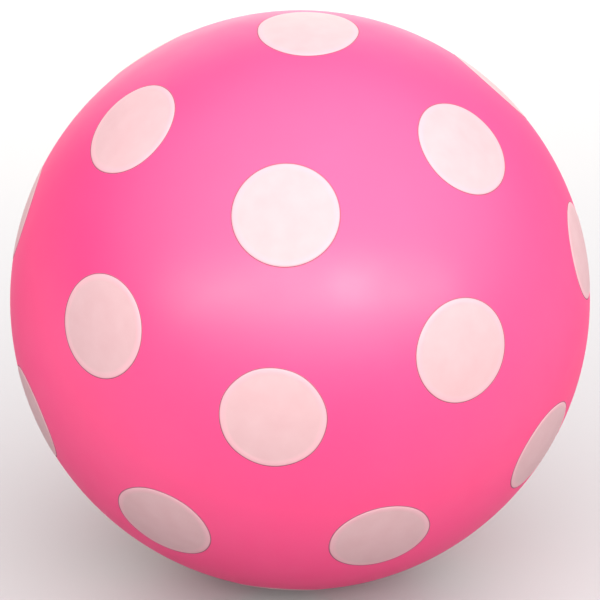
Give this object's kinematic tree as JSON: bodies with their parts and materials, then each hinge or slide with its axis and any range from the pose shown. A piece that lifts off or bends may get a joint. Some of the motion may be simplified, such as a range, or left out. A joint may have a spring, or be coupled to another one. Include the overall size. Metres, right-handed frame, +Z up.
{
  "type": "toy ball",
  "caption": "Hollow seamless vinyl play ball with a printed polka-dot pattern, a flush inflation valve insert at the back and a push-in valve plug that pulls out.",
  "frame": {"origin": "centre of the ball", "axes": "+Z up, +Y along the valve axis out of the valve at the back, so the middle dot of the print faces -Y at the front"},
  "size_m": [0.23, 0.23, 0.2304],
  "materials": {
    "pink_vinyl": "satin",
    "valve_vinyl": "satin",
    "plug_vinyl": "satin",
    "white_ink": "satin"
  },
  "bodies": {
    "ball": {"ball_skin": "pink_vinyl", "valve_insert": "valve_vinyl", "dot_front": "white_ink", "dot_ring1_1": "white_ink", "dot_ring1_2": "white_ink", "dot_ring1_3": "white_ink", "dot_ring1_4": "white_ink", "dot_ring1_5": "white_ink", "dot_ring2_1": "white_ink", "dot_ring2_2": "white_ink", "dot_ring2_3": "white_ink", "dot_ring2_4": "white_ink", "dot_ring2_5": "white_ink", "dot_ring3_1": "white_ink", "dot_ring3_2": "white_ink", "dot_ring3_3": "white_ink", "dot_ring3_4": "white_ink", "dot_ring3_5": "white_ink", "dot_ring4_1": "white_ink", "dot_ring4_2": "white_ink", "dot_ring4_3": "white_ink", "dot_ring4_4": "white_ink", "dot_ring4_5": "white_ink", "dot_ring5_1": "white_ink", "dot_ring5_2": "white_ink", "dot_ring5_3": "white_ink", "dot_ring5_4": "white_ink", "dot_ring5_5": "white_ink", "dot_ring6_1": "white_ink", "dot_ring6_2": "white_ink", "dot_ring6_3": "white_ink", "dot_ring6_4": "white_ink", "dot_ring6_5": "white_ink"},
    "plug": {"valve_plug": "plug_vinyl"}
  },
  "joints": [
    {"name": "plug_pull", "type": "slide", "parent": "ball", "child": "plug", "axis": [0, 1, 0], "range_m": [0, 0.03]}
  ]
}
